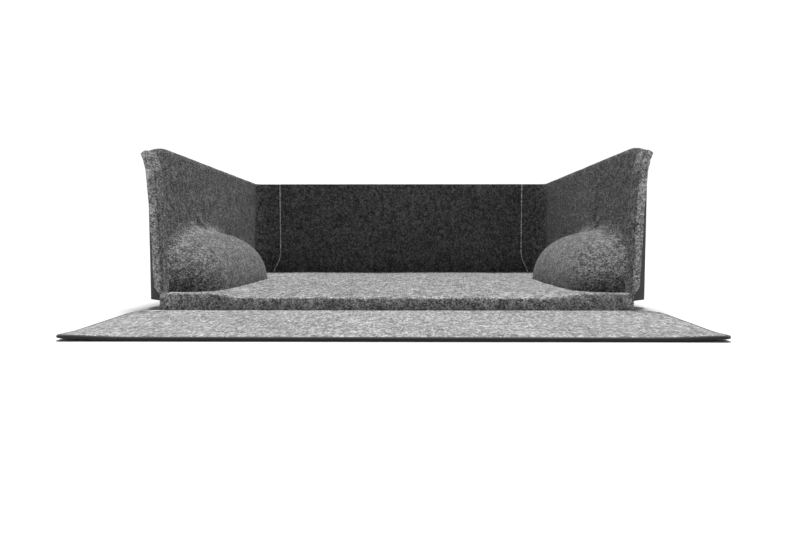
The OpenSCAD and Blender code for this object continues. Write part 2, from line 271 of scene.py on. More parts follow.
def merged(patches):
    """One sheet out of several patches of (points, faces), joined where their points meet."""
    verts = np.vstack([p for p, _ in patches])
    first = np.cumsum([0] + [len(p) for p, _ in patches])
    keys, inverse = np.unique(np.round(verts, 6), axis=0, return_inverse=True)
    inverse = inverse.reshape(-1)
    kept = np.zeros((len(keys), 3))
    kept[inverse] = verts
    faces = []
    for k, (_, patch) in enumerate(patches):
        for face in patch:
            ring = [int(inverse[first[k] + i]) for i in face]
            ring = [v for i, v in enumerate(ring) if v != ring[i - 1]]
            if len(set(ring)) > 2:
                faces.append(tuple(ring))
    return kept, faces


def facing(verts, faces, point, direction):
    """The faces, all turned the same way, so that the one nearest to point faces direction."""
    mesh = bmesh.new()
    made = [mesh.verts.new(v) for v in verts]
    for face in faces:
        mesh.faces.new([made[i] for i in face])
    bmesh.ops.recalc_face_normals(mesh, faces=mesh.faces[:])
    mesh.verts.index_update()
    nearest = min(mesh.faces, key=lambda f: (f.calc_center_median() - Vector(point)).length)
    nearest.normal_update()
    turn = nearest.normal.dot(Vector(direction)) < 0
    found = [tuple(v.index for v in f.verts) for f in mesh.faces]
    mesh.free()
    return [f[::-1] for f in found] if turn else found


def shell(name, verts, faces, outer, inner, back_verts=None):
    """A closed piece between two offsets of a sheet along its normals. The back can follow a
    sheet of its own, with the same faces."""
    n = len(verts)
    normals = normals_of(verts, faces)
    behind = verts if back_verts is None else back_verts
    behind_normals = normals if back_verts is None else normals_of(behind, faces)
    sides = dict.fromkeys((a, b) for face in faces for a, b in zip(face, face[1:] + face[:1]))
    rim = [(b, a, a + n, b + n) for a, b in sides if (b, a) not in sides]
    back = [tuple(i + n for i in reversed(face)) for face in faces]
    points = np.vstack([verts + normals * outer, behind + behind_normals * inner])
    return make_object(name, points, list(faces) + back + rim)


def waves(points, size, amount, seed):
    """A gentle unevenness, as a sum of sine waves with seeded directions."""
    random = np.random.default_rng(seed)
    total = np.zeros(len(points))
    for _ in range(7):
        direction = unit(random.normal(size=3))
        length = size * random.uniform(0.6, 1.7)
        phase = random.uniform(0, 2 * math.pi)
        total += np.sin(points @ direction * (2 * math.pi / length) + phase)
    return total * (amount / 2.6)


def pile(points, amount, seed=0.0):
    """The small bumps of a carpet's face, at the size of a few tufts."""
    found = []
    for x, y, z in points:
        coarse = noise.noise(Vector((x * 42 + seed, y * 42, z * 42)))
        fine = noise.noise(Vector((x * 105, y * 105 + seed, z * 105)))
        found.append(coarse + 0.7 * fine)
    return np.array(found) * amount


# ---- side sections


def squircle(angle, power):
    return (abs(math.cos(angle)) ** power + abs(math.sin(angle)) ** power) ** (-1 / power)


def well_point(turn, rise):
    """A point of the wheel well's face. Turn runs from its rear end to its front end."""
    reach = squircle(turn, FOOTPRINT_POWER)
    lean = squircle(rise, DOME_POWER)
    out = math.cos(rise) * lean
    return [
        WALL_IN - WELL_DEPTH * math.sin(turn) * reach * out,
        WELL_Y - WELL_HALF * math.cos(turn) * reach * out,
        WELL_TOP * math.sin(rise) * lean,
    ]


def evenly(curve, top, count):
    """Values from 0 to top at which a curve's points lie the same distance apart."""
    fine = np.linspace(0, top, 1500)
    points = np.array([curve(t) for t in fine])
    run = np.concatenate([[0], np.cumsum(np.linalg.norm(np.diff(points, axis=0), axis=1))])
    return np.interp(np.linspace(0, run[-1], count + 1), run, fine)


def path_distance(points, path):
    """Signed distance in plan from a path, positive on its left."""
    signed = np.full(len(points), 1e9)
    flat = points[:, :2]
    for a, b in zip(path[:-1], path[1:]):
        along = b - a
        t = np.clip((flat - a) @ along / (along @ along), 0, 1)
        gap = flat - (a + t[:, None] * along)
        far = np.linalg.norm(gap, axis=1)
        side = np.sign(-along[1] * gap[:, 0] + along[0] * gap[:, 1])
        closer = far < np.abs(signed) - 1e-12
        signed = np.where(closer, far * np.where(side == 0, 1, side), signed)
    return signed


def well_gauge(points):
    """1 on the wheel well's face, less inside it and more outside."""
    across = np.abs(WALL_IN - points[:, 0]) / WELL_DEPTH
    along = np.abs(points[:, 1] - WELL_Y) / WELL_HALF
    up = np.abs(points[:, 2]) / WELL_TOP
    plan = (across**FOOTPRINT_POWER + along**FOOTPRINT_POWER) ** (DOME_POWER / FOOTPRINT_POWER)
    return (plan + up**DOME_POWER) ** (1 / DOME_POWER)


def gradient(field, points, step=2e-4):
    found = []
    for axis in np.eye(3) * step:
        found.append((field(points + axis) - field(points - axis)) / (2 * step))
    return np.stack(found, 1)


def blended(points, path, reach):
    """Distance from the smooth union of the side section's face and the wheel well."""
    wall = path_distance(points, path)
    gauge = well_gauge(points)
    slope = np.linalg.norm(gradient(well_gauge, points), axis=1)
    well = (gauge - 1) / np.maximum(slope, 0.5)
    near = np.maximum(reach - np.abs(wall - well), 0) / reach
    return np.minimum(wall, well) - near**2 * reach / 4


def side_sheet(reach=WELL_BLEND):
    """The right side section's carpet face: wall, pillar wrap, returns and wheel well in one."""
    rise_count, turn_count, high_count = 64, 110, 44
    top_count = 2 * (rise_count - high_count)
    rises = evenly(lambda t: well_point(0, t)[1:], math.pi / 2, rise_count)
    turns = evenly(lambda t: well_point(t, 0)[:2], math.pi, turn_count)
    dome = np.array([well_point(turn, rise) for turn in turns for rise in rises])
    dome[np.abs(dome[:, 0] - WALL_IN) < 1e-7, 0] = WALL_IN
    patches = [(dome, grid_faces(turn_count + 1, rise_count + 1))]

    # The wall around the arch, in rings from the arch to a rectangle
    start_y = PILLAR_END + PILLAR_RUN + CORNER_RADIUS * math.tan(math.pi / 8)
    end_y = WELL_Y + WELL_HALF + 0.06
    heights = np.linspace(0, WALL_TOP, high_count + 1)
    arch = [well_point(0, t)[1:] for t in rises]
    arch += [well_point(math.pi, t)[1:] for t in rises[::-1][1:]]
    edge = [[start_y, z] for z in heights]
    edge += [[y, WALL_TOP] for y in np.linspace(start_y, end_y, top_count + 1)[1:]]
    edge += [[end_y, z] for z in heights[::-1][1:]]
    arch, edge = np.array(arch), np.array(edge)
    rings = np.linspace(0, 1, 26) ** 1.4
    flat = np.vstack([arch + (edge - arch) * t for t in rings])
    around = np.column_stack([np.full(len(flat), WALL_IN), flat])
    patches.append((around, grid_faces(len(rings), len(arch))))

    # The stretches behind and ahead of it, as plain columns along the path
    path = spaced(face_path, 0.012)
    behind = path[path[:, 1] < start_y - 1e-4]
    ahead = path[path[:, 1] > end_y + 1e-4]
    for columns in (
        np.vstack([behind, [[WALL_IN, start_y]]]),
        np.vstack([[[WALL_IN, end_y]], ahead]),
    ):
        points = []
        for x, y in columns:
            low, high = rear_edge_heights(x, y)
            points += [[x, y, low + (high - low) * z / WALL_TOP] for z in heights]
        patches.append((np.array(points), grid_faces(len(columns), len(heights))))

    verts, faces = merged(patches)
    for _ in range(8):
        close = well_gauge(verts) < 1.9
        here = verts[close]
        value = blended(here, face_path, reach)
        slope = gradient(lambda p: blended(p, face_path, reach), here)
        verts[close] = here - slope * (value / np.maximum((slope**2).sum(1), 0.2))[:, None]
    faces = facing(verts, faces, (WALL_IN, WELL_Y, WALL_TOP), (-1, 0, 0))

    # The pillar leans in a little at its foot and curves outward at its top
    rear = 1 - smoothstep(PILLAR_END - 0.01, PILLAR_END + 0.07, verts[:, 1])
    heights = [0.0, 0.06, 0.14, 0.30, 0.416, 0.45, 0.475, 0.50, 0.53]
    leans = [-0.0055, -0.0055, -0.002, 0.004, 0.0115, 0.019, 0.029, 0.041, 0.050]
    drop = PILLAR_DROP * (1 - smoothstep(PILLAR_END - 0.02, PILLAR_END + 0.24, verts[:, 1]))
    verts[:, 2] -= drop * smoothstep(0.33, WALL_TOP, verts[:, 2])
    verts[:, 0] += rear * np.interp(verts[:, 2], heights, leans)
    swell = waves(verts, 0.35, 0.0012, 3) + waves(verts, 0.11, 0.0005, 4)
    swell += pile(verts, 0.0007)
    for amount, start, end, width in CREASES:
        swell += amount * crease(verts, start, end, width)
    return verts, verts + normals_of(verts, faces) * swell[:, None], faces


# Height, ends in Y and Z, and width of the folds left where the carpet was worked over the well
CREASES = [
    (0.0085, (-0.118, 0.430), (-0.132, 0.255), 0.010),
    (0.0075, (-0.225, 0.305), (-0.128, 0.248), 0.011),
    (0.0030, (-0.520, 0.100), (-0.460, 0.190), 0.020),
]


def crease(points, start, end, width):
    """1 along a line on the wall, given by its ends in Y and Z, and fading out beside it."""
    a, b = np.array(start), np.array(end)
    flat = points[:, 1:]
    along = b - a
    t = np.clip((flat - a) @ along / (along @ along), 0, 1)
    far = np.linalg.norm(flat - (a + t[:, None] * along), axis=1)
    return np.exp(-((far / width) ** 2)) * smoothstep(0, 0.25, t) * (1 - smoothstep(0.75, 1, t))


def rear_edge_heights(x, y):
    """Where the side section's carpet starts and ends, at a place in plan."""
    if y >= RETURN_Y - 0.001:
        return 0.0, WALL_TOP
    strip = float(np.clip((x - PILLAR_FACE) / RETURN_WIDTH, 0, 1))
    return 0.021 + 0.034 * strip**1.6, WALL_TOP - 0.012 * strip**2


# ---- flat sections


def rows_sheet(rows, columns, inner_half=None):
    """A sheet made of rows across X. A row is (y, z, half-width). Columns run from -1 to 1;
    with inner_half, those within it stay put and only the ones outside reach to the row's edge."""
    points = []
    for y, z, half in rows:
        if inner_half is None:
            xs = columns * half
        else:
            share = np.clip((np.abs(columns) - 0.8) / 0.2, 0, 1)
            middle = np.clip(np.abs(columns) / 0.8, 0, 1) * inner_half
            xs = np.sign(columns) * (middle + share * (half - inner_half))
        points += [[x, y, z] for x in xs]
    return np.array(points, float), grid_faces(len(rows), len(columns))


def floor_edge():
    """(y, half-width) down the floor section's side, from its rear to its front."""
    edge = beside(outer_path, WALL_THICK + FLOOR_GAP)
    wall = WALL_IN - FLOOR_GAP
    found = [(REAR_Y + 0.012, PILLAR_FACE - FLOOR_GAP)]
    found += [
        (y, x)
        for x, y in spaced(edge, 0.012)
        if REAR_Y + 0.014 < y < WELL_Y - WELL_HALF - 0.004 and x > PILLAR_FACE - 0.004
    ]
    turns = evenly(lambda t: well_point(t, 0)[:2], math.pi, 96)
    for turn in turns[1:-1]:
        x, y, _ = well_point(turn, 0)
        out = unit(np.array([x - WALL_IN, (y - WELL_Y) * 0.35]))
        found.append((y + out[1] * FLOOR_GAP, min(wall, x + out[0] * FLOOR_GAP)))
    ahead = WELL_Y + WELL_HALF + 0.004
    end = floor_high.y
    found += [(y, wall) for y in np.arange(ahead, end - 0.045, 0.012)]
    bend = corner(np.array([wall, 0.0]), np.array([wall, end]), np.array([0.0, end]), 0.04, 8)
    found += [(y, x) for x, y in bend]
    return [(y, x) for y, x in found if y < end + 1e-6]


def lip(points):
    """The floor section's rear corners curl up a little against the pillars."""
    out = smoothstep(0.47, 0.60, np.abs(points[:, 0]))
    near = np.exp(-(((points[:, 1] - REAR_Y) / 0.055) ** 2))
    return LIP_RISE * out * near


def floor_sheet():
    half = PILLAR_FACE - FLOOR_GAP
    rows = [(REAR_Y, z, half) for z in (0.002, 0.006, FLOOR_TOP - NOSE)]
    for angle in np.radians([15, 30, 45, 60, 75, 90]):
        back, down = NOSE * (1 - math.cos(angle)), NOSE * (1 - math.sin(angle))
        rows.append((REAR_Y + back, FLOOR_TOP - down, half))
    rows += [(y, FLOOR_TOP, x) for y, x in floor_edge()]
    verts, faces = rows_sheet(rows, np.linspace(-1, 1, 161), inner_half=FLOOR_CENTRE)
    verts[:, 2] += lip(verts) * smoothstep(0.004, FLOOR_TOP, verts[:, 2])
    flat = smoothstep(REAR_Y + 0.01, REAR_Y + 0.06, verts[:, 1])
    verts[:, 2] += flat * (waves(verts, 0.30, 0.0009, 11) + waves(verts, 0.09, 0.0003, 12))
    bumps = pile(verts, 0.0008)
    crown = smoothstep(FLOOR_TOP - 0.010, FLOOR_TOP, verts[:, 2])
    verts[:, 2] += bumps * crown
    verts[:, 1] += bumps * (1 - flat)
    return verts, facing(verts, faces, (0, 0, FLOOR_TOP), (0, 0, 1))


def gate_outline():
    wide, front, rear = gate_high.x, gate_high.y, gate_low.y
    points = [
        [wide, front],
        [-wide, front],
        [-wide, front - GATE_SHOULDER],
        [-GATE_END_HALF, rear],
        [GATE_END_HALF, rear],
        [wide, front - GATE_SHOULDER],
    ]
    return rounded(points, [0.062, 0.062, 0.060, 0.018, 0.018, 0.060])


def gate_sheet():
    outline = gate_outline()
    right = outline[outline[:, 0] > 0.3]
    between = np.linspace(gate_low.y + 0.012, gate_high.y - 0.07, 56)
    ys = sorted(set(np.round(right[:, 1], 5)) | set(between))
    order = np.argsort(right[:, 1])
    halves = np.interp(ys, right[order, 1], right[order, 0])
    rows = [(y, gate_high.z, half) for y, half in zip(ys, halves)]
    verts, faces = rows_sheet(rows, np.linspace(-1, 1, 161))
    edge = gate_edge(verts)
    settle = smoothstep(0, 0.05, edge)
    verts[:, 2] += settle * (waves(verts, 0.28, 0.0008, 21) + waves(verts, 0.08, 0.0003, 22))
    verts[:, 2] += curl(verts) + pile(verts, 0.0007) * smoothstep(0.004, 0.02, edge)
    verts[:, 2] -= 0.0020 * (1 - smoothstep(0, 0.016, edge)) ** 2
    return verts, facing(verts, faces, (0, gate_low.y, gate_high.z), (0, 0, 1))


def gate_edge(points):
    """Distance in plan to the tailgate section's edge."""
    loop = gate_outline()
    return np.abs(path_distance(points, np.vstack([loop, loop[:1]])))


def curl(points):
    """The free end's corners lift a little."""
    out = smoothstep(GATE_END_HALF - 0.20, GATE_END_HALF, np.abs(points[:, 0]))
    near = 1 - smoothstep(gate_low.y, gate_low.y + 0.12, points[:, 1])
    return CORNER_LIFT * out**1.5 * near


def curl_piece(obj):
    points = np.array([v.co[:] for v in obj.data.vertices])
    for vertex, rise in zip(obj.data.vertices, curl(points)):
        vertex.co.z += rise


def front_sheet():
    rows = [(z, 0, x) for z, x in front_outline()]
    rim = 1 - 0.0052 / rows[-1][2]
    columns = np.concatenate([[-1], np.linspace(-rim, rim, 111), [1]])
    verts, faces = rows_sheet(rows, columns)
    flat = np.column_stack([verts[:, 0], np.full(len(verts), front_low.y), verts[:, 1]])
    flat[:, 1] += waves(flat, 0.32, 0.0010, 31) + waves(flat, 0.1, 0.0003, 32)
    flat[:, 1] -= pile(flat, 0.0006)
    across = len(columns) - 1
    # The outermost columns, 5.2 mm wide, are the cut edges that get the painted highlight.
    cut = [k for k in range(len(faces)) if k % across in (0, across - 1)]
    return flat, facing(flat, faces, (0, front_low.y, 0.3), (0, -1, 0)), cut


# ---- materials


class Nodes:
    """A short way to build the node tree of a material or a world."""

    def __init__(self, name, kind=bpy.data.materials):
        self.owner = kind.new(name)
        self.owner.use_nodes = True
        self.tree = self.owner.node_tree
        self.tree.nodes.clear()

    def add(self, kind, inputs=None, **settings):
        node = self.tree.nodes.new(kind)
        for key, value in settings.items():
            setattr(node, key, value)
        for key, value in (inputs or {}).items():
            socket = node.inputs[key]
            if isinstance(value, bpy.types.NodeSocket):
                self.tree.links.new(value, socket)
            elif socket.type == "RGBA":
                socket.default_value = (*value, 1)
            else:
                socket.default_value = value
        return node

    def place(self):
        return self.add("ShaderNodeTexCoord").outputs["Object"]

    def noise(self, vector, scale, detail=2.0, rough=0.5):
        node = self.add(
            "ShaderNodeTexNoise",
            {"Vector": vector, "Scale": scale, "Detail": detail, "Roughness": rough},
        )
        return node.outputs["Fac"]

    def bands(self, vector, scale, along, distortion, detail=2.0):
        node = self.add(
            "ShaderNodeTexWave",
            {"Vector": vector, "Scale": scale, "Distortion": distortion, "Detail": detail},
            bands_direction=along,
        )
        return node.outputs["Fac"]

    def cells(self, vector, scale, random=1.0):
        return self.add(
            "ShaderNodeTexVoronoi", {"Vector": vector, "Scale": scale, "Randomness": random}
        )

    def maths(self, operation, a, b=0.0):
        return self.add("ShaderNodeMath", {0: a, 1: b}, operation=operation).outputs[0]

    def vectors(self, operation, a, b):
        return self.add("ShaderNodeVectorMath", {0: a, 1: b}, operation=operation).outputs[0]

    def weigh(self, *parts):
        """The sum of values, each times its weight."""
        total = None
        for value, weight in parts:
            part = self.maths("MULTIPLY", value, weight)
            total = part if total is None else self.maths("ADD", total, part)
        return total

    def spread(self, value, low, high, to_low=0.0, to_high=1.0):
        node = self.add("ShaderNodeMapRange", {0: value, 1: low, 2: high, 3: to_low, 4: to_high})
        return node.outputs[0]

    def ramp(self, value, stops):
        node = self.add("ShaderNodeValToRGB", {"Fac": value})
        elements = node.color_ramp.elements
        while len(elements) < len(stops):
            elements.new(0.5)
        for element, (at, colour) in zip(elements, stops):
            element.position = at
            element.color = (*colour, 1)
        return node.outputs["Color"]

    def mix(self, factor, a, b, how="MIX"):
        node = self.add("ShaderNodeMix", {0: factor, 6: a, 7: b}, data_type="RGBA", blend_type=how)
        return node.outputs[2]

    def bump(self, height, distance, strength=1.0, normal=None):
        inputs = {"Height": height, "Distance": distance, "Strength": strength}
        if normal is not None:
            inputs["Normal"] = normal
        return self.add("ShaderNodeBump", inputs).outputs["Normal"]

    def finish(self, **inputs):
        named = {key.replace("_", " ").title(): value for key, value in inputs.items()}
        named = {key.replace("Ior", "IOR"): value for key, value in named.items()}
        shader = self.add("ShaderNodeBsdfPrincipled", named)
        self.add("ShaderNodeOutputMaterial", {"Surface": shader.outputs[0]})
        return self.owner


def grey(level, warm=0.0):
    return (level * (1 + warm), level, level * (1 - warm))


def carpet(name, light=1.0, stretch=1.0, contrast=1.0, well_shade=1.0):
    """Looped tweed carpet: dark and light fibres mixed at random, with a dull pile. The mix is
    longer along Y where stretch is below 1, as on the pieces cut along the roll. The light factor
    scales every shade, so the copies made below paint light and shade into the colour. Below 1,
    the last argument darkens the carpet by that share where it stands in from the wall face, as
    over the wheel wells from their rear end forward: a painted shade."""
    n = Nodes(name)
    place = n.place()
    bend = n.add("ShaderNodeTexNoise", {"Vector": place, "Scale": 170.0, "Detail": 1.0})
    shift = n.vectors("MULTIPLY", bend.outputs["Color"], (0.0045, 0.0045, 0.0045))
    bent = n.vectors("MULTIPLY", n.vectors("ADD", place, shift), (1.0, stretch, 1.0))
    loops = n.cells(bent, 400.0)
    tuft = n.add("ShaderNodeSeparateColor", {"Color": loops.outputs["Color"]}).outputs[0]
    fibre = n.noise(bent, 950.0, 2.0, 0.6)
    clump = n.spread(n.noise(bent, 165.0, 2.0, 0.55), 0.34, 0.66)
    broad, broader = (n.spread(n.noise(bent, scale), 0.32, 0.68) for scale in (66.0, 30.0))
    value = n.weigh((tuft, 0.26), (fibre, 0.16), (clump, 0.32), (broad, 0.18), (broader, 0.08))
    value = n.spread(value, 0.0, 1.0, 0.5 - contrast / 2, 0.5 + contrast / 2)
    shades = (0.22, 0.040, 0), (0.38, 0.100, 0.01), (0.50, 0.180, 0), (0.62, 0.290, 0.008)
    shades += ((0.80, 0.520, 0.01),)
    colour = n.ramp(value, [(at, grey(level * light, warm)) for at, level, warm in shades])
    tone = n.spread(n.noise(place, 3.5, 3.0), 0.3, 0.7, 0.92, 1.08)
    # Painted shade: darker where the carpet stands in from the wall face, over the wheel wells from
    # their rear end forward
    if well_shade != 1.0:
        split = n.add("ShaderNodeSeparateXYZ", {0: place}).outputs
        across = n.maths("ABSOLUTE", split[0])
        well_shade_factor = n.spread(across, WALL_IN - 0.075, WALL_IN - 0.012, well_shade, 1.0)
        pillar = n.spread(split[1], WELL_Y - WELL_HALF - 0.10, WELL_Y - WELL_HALF, 1.0, 0.0)
        well_shade_factor = n.maths("MAXIMUM", well_shade_factor, pillar)
        tone = n.maths("MULTIPLY", tone, well_shade_factor)
    tone = n.add("ShaderNodeCombineColor", {0: tone, 1: tone, 2: tone}).outputs[0]
    colour = n.mix(1.0, colour, tone, "MULTIPLY")
    round_top = n.maths("SUBTRACT", 1.0, loops.outputs["Distance"])
    height = n.weigh((round_top, 0.6), (fibre, 0.5))
    normal = n.bump(clump, 0.0030, 0.7)
    normal = n.bump(height, 0.0018, 0.9, normal)
    return n.finish(
        base_color=colour,
        roughness=n.spread(fibre, 0.3, 0.7, 0.88, 1.0),
        specular_ior_level=0.15,
        sheen_weight=0.15,
        sheen_roughness=0.6,
        sheen_tint=(0.85, 0.86, 0.88),
        normal=normal,
    )


def foam(name):
    """Closed-cell black foam, with fine cells and a few scuffs."""
    n = Nodes(name)
    place = n.place()
    cell = n.cells(place, 520.0)
    fine = n.noise(place, 260.0, 3.0)
    scuff = n.spread(n.noise(place, 14.0, 5.0, 0.65), 0.52, 0.72, 0.0, 1.0)
    colour = n.ramp(fine, [(0.3, grey(0.028)), (0.7, grey(0.048, 0.01))])
    colour = n.mix(n.maths("MULTIPLY", scuff, 0.35), colour, grey(0.085, 0.02))
    height = n.maths("ADD", cell.outputs["Distance"], n.maths("MULTIPLY", fine, 0.6))
    normal = n.bump(n.noise(place, 30.0, 3.0), 0.0012, 0.35)
    return n.finish(
        base_color=colour,
        roughness=n.spread(fine, 0.3, 0.7, 0.62, 0.85),
        specular_ior_level=0.35,
        normal=n.bump(height, 0.0007, 0.7, normal),
    )


def webbing(name, level):
    """Woven tape with fine ribs across its length."""
    n = Nodes(name)
    place = n.place()
    wave = n.bands(place, RIBS / math.tau, "X", 0.6, 1.0)
    lint = n.noise(place, 600.0, 2.0)
    mixed = n.weigh((wave, 0.6), (lint, 0.4))
    colour = n.ramp(mixed, [(0.2, grey(level * 0.55)), (0.8, grey(level * 1.6))])
    height = n.maths("ADD", wave, n.maths("MULTIPLY", lint, 0.5))
    return n.finish(
        base_color=colour,
        roughness=n.spread(lint, 0.3, 0.7, 0.7, 0.9),
        specular_ior_level=0.3,
        sheen_weight=0.15,
        normal=n.bump(height, 0.0004, 0.8),
    )


def hook_tape(name):
    """Rows of small moulded hooks on black tape."""
    n = Nodes(name)
    place = n.place()
    hooks = n.cells(place, 640.0, 0.25)
    speck = n.maths("GREATER_THAN", n.maths("SUBTRACT", 0.55, hooks.outputs["Distance"]), 0.2)
    colour = n.mix(speck, grey(0.012), grey(0.055))
    return n.finish(
        base_color=colour,
        roughness=n.spread(n.noise(place, 200.0), 0.3, 0.7, 0.4, 0.65),
        normal=n.bump(n.maths("SUBTRACT", 1.0, hooks.outputs["Distance"]), 0.0006, 1.0),
    )


def nylon(name, level):
    """Moulded nylon with a soft shine."""
    n = Nodes(name)
    place = n.place()
    fine = n.noise(place, 400.0, 3.0)
    colour = n.ramp(fine, [(0.3, grey(level * 0.8)), (0.7, grey(level * 1.25))])
    return n.finish(
        base_color=colour,
        roughness=n.spread(fine, 0.3, 0.7, 0.32, 0.5),
        normal=n.bump(fine, 0.0001, 0.6),
    )


def enamel(name):
    """Dark enamelled metal, rubbed to grey where it is handled."""
    n = Nodes(name)
    place = n.place()
    wear = n.spread(n.noise(place, 350.0, 6.0, 0.7), 0.55, 0.68, 0.0, 1.0)
    colour = n.mix(n.maths("MULTIPLY", wear, 0.7), grey(0.06), grey(0.42))
    return n.finish(
        base_color=colour,
        metallic=n.maths("MULTIPLY", wear, 0.8),
        roughness=n.spread(n.noise(place, 900.0, 2.0), 0.3, 0.7, 0.28, 0.45),
        coat_weight=0.3,
        coat_roughness=0.2,
    )


def cotton(name):
    """Plain white woven label cloth."""
    n = Nodes(name)
    place = n.place()
    warp, weft = (n.bands(place, 420.0, along, 0.3) for along in "XY")
    weave = n.maths("MULTIPLY", n.maths("ADD", warp, weft), 0.5)
    colour = n.ramp(weave, [(0.2, grey(0.55, 0.02)), (0.8, grey(0.80, 0.01))])
    return n.finish(
        base_color=colour,
        roughness=n.spread(weave, 0, 1, 0.8, 0.92),
        normal=n.bump(weave, 0.0002, 0.7),
    )


# Copies of the one tweed carpet, lit and shaded by their light factors. The walls' copy is
# darkened, a painted shade.
WALL_CARPET_PAINTED_SHADE = carpet("tweed_carpet_wall_painted_shade", light=0.61, stretch=0.55, contrast=1.6, well_shade=0.74)
# The floor's copy is darkened a little, a painted shade.
FLOOR_CARPET_PAINTED_SHADE = carpet("tweed_carpet_floor_painted_shade", light=0.91, stretch=0.36, contrast=1.15)
# The tailgate mat's copy is lightened, a painted light.
GATE_CARPET_PAINTED_LIGHT = carpet("tweed_carpet_tailgate_painted_light", light=1.13, stretch=0.42, contrast=0.84)
# The copy for the floor's rounded rear edge and the flap is lightened, a painted light.
FOLD_CARPET_PAINTED_LIGHT = carpet("tweed_carpet_fold_painted_light", light=1.32, contrast=1.1)
# The pillar returns' copy is lightened, a painted light.
RETURN_CARPET_PAINTED_LIGHT = carpet("tweed_carpet_return_painted_light", light=1.42, contrast=1.1)
# The front panel's copy is darkened, a painted shadow.
FRONT_CARPET_PAINTED_SHADE = carpet("tweed_carpet_front_painted_shade", light=0.38, stretch=0.55, contrast=1.6)
# The front panel's cut edges get a much lightened copy, a painted highlight.
EDGE_CARPET_PAINTED_HIGHLIGHT = carpet("tweed_cut_edge_painted_highlight", light=3.4)
THREAD = webbing("stitch_thread", 0.06)
FOAM = foam("closed_cell_foam")
HOOKS = hook_tape("hook_tape")
BINDING = webbing("edge_binding", 0.016)
TAPE = webbing("zipper_tape", 0.026)
NYLON = nylon("coil_nylon", 0.035)
METAL = enamel("slider_enamel")
COTTON = cotton("label_cotton")


def dress(obj, material, body=BED):
    obj.data.materials.clear()
    obj.data.materials.append(material)
    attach(obj, body)


def dress_skin(skin, first, second, others, edge):
    """A bed piece with two carpets, the second of them on the faces in others."""
    for k in others:
        skin.data.polygons[k].material_index = 1
    skin.data.materials.append(first)
    skin.data.materials.append(second)
    soften_edges(skin, edge)
    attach(skin, BED)


# ---- the pieces


def build_sides():
    smooth, verts, faces = side_sheet()
    facings = -normals_of(verts, faces)[:, 1]
    on_return = [
        k
        for k, face in enumerate(faces)
        if smooth[list(face), 1].mean() < RETURN_Y and facings[list(face)].mean() > 0.6
    ]
    for side, turn in (("left", -1), ("right", 1)):
        points, plain_points = verts * (turn, 1, 1), smooth * (turn, 1, 1)
        quads = [face[::turn] for face in faces]
        skin = shell(f"{side}_side_carpet_shell", points, quads, 0, -SKIN_THICK)
        # The wall gets the darkened copy, a painted shade, and the pillar returns get the lightened
        # one, a painted light.
        dress_skin(skin, WALL_CARPET_PAINTED_SHADE, RETURN_CARPET_PAINTED_LIGHT, on_return, 0.0014)
        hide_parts(f"{side}_side_carpet", f"{side}_wheel_well_carpet")
        near, far = -SKIN_THICK - 0.0002, HOOK_RISE - WALL_THICK
        back = shell(f"{side}_side_foam_shell", points, quads, near, far, plain_points)
        soften_edges(back, 0.0010)
        dress(back, FOAM)
        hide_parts(f"{side}_side_foam", f"{side}_wheel_well_foam")


def build_floor():
    verts, faces = floor_sheet()
    top = shell("floor_carpet_shell", verts, faces, 0, -FLOOR_SKIN + 0.0005)
    # The floor gets the darkened copy, a painted shade, and its rounded rear edge gets the
    # lightened fold copy, a painted light.
    nose = [k for k, face in enumerate(faces) if verts[list(face), 1].mean() < REAR_Y + 0.006]
    dress_skin(top, FLOOR_CARPET_PAINTED_SHADE, FOLD_CARPET_PAINTED_LIGHT, nose, 0.0014)
    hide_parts("floor_carpet")
    rows = [(y, foam_high.z, x) for y, x in floor_edge()]
    rows[0] = (foam_low.y, foam_high.z, rows[0][2])
    verts, faces = rows_sheet(rows, np.linspace(-1, 1, 91), inner_half=FLOOR_CENTRE)
    faces = facing(verts, faces, (0, 0, foam_high.z), (0, 0, 1))
    base = shell("floor_foam_slab", verts, faces, -0.0004, -foam_high.z)
    soften_edges(base, 0.0020)
    dress(base, FOAM)
    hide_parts("floor_foam")


def build_gate():
    verts, faces = gate_sheet()
    top = shell("tailgate_carpet_sheet", verts, faces, 0, gate_low.z - gate_high.z)
    soften_edges(top, 0.0013)
    # The tailgate mat gets the lightened copy of the carpet, a painted light.
    dress(top, GATE_CARPET_PAINTED_LIGHT, GATE)
    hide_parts("tailgate_carpet")
    rim = (1 - smoothstep(0, 0.016, gate_edge(verts))) ** 2
    flat, under = verts.copy(), verts.copy()
    flat[:, 2] = gate_low.z - 0.0004 + curl(verts) - 0.0012 * rim
    under[:, 2] = gate_foam_low.z + HOOK_RISE + curl(verts) + 0.0016 * rim
    base = shell("tailgate_foam_sheet", flat, faces, 0, 0, under)
    soften_edges(base, 0.0012)
    dress(base, FOAM, GATE)
    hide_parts("tailgate_foam")


def build_front():
    verts, faces, cut = front_sheet()
    thick = front_high.y - front_low.y
    skin = shell("front_carpet_sheet", verts, faces, 0, -thick)
    rim = list(range(2 * len(faces), len(skin.data.polygons)))
    # The front panel gets the darkened copy, a painted shadow, and its cut edges and rim get the
    # lightened one, a painted highlight.
    dress_skin(skin, FRONT_CARPET_PAINTED_SHADE, EDGE_CARPET_PAINTED_HIGHLIGHT, cut + rim, 0.0013)
    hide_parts("front_carpet")
    back = front_foam_piece()
    dress(back, FOAM)
    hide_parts("front_foam")


def front_outline():
    """(z, half-width) of the front panel from its foot to its top. The foot flares out."""
    straight = 0.698
    side = rounded(
        [[straight, WALL_TOP], [straight, 0.11], [front_high.x, 0]], [0, 0.15, 0], steps=14
    )
    return [(z, x) for x, z in spaced(side, 0.012)[::-1]]


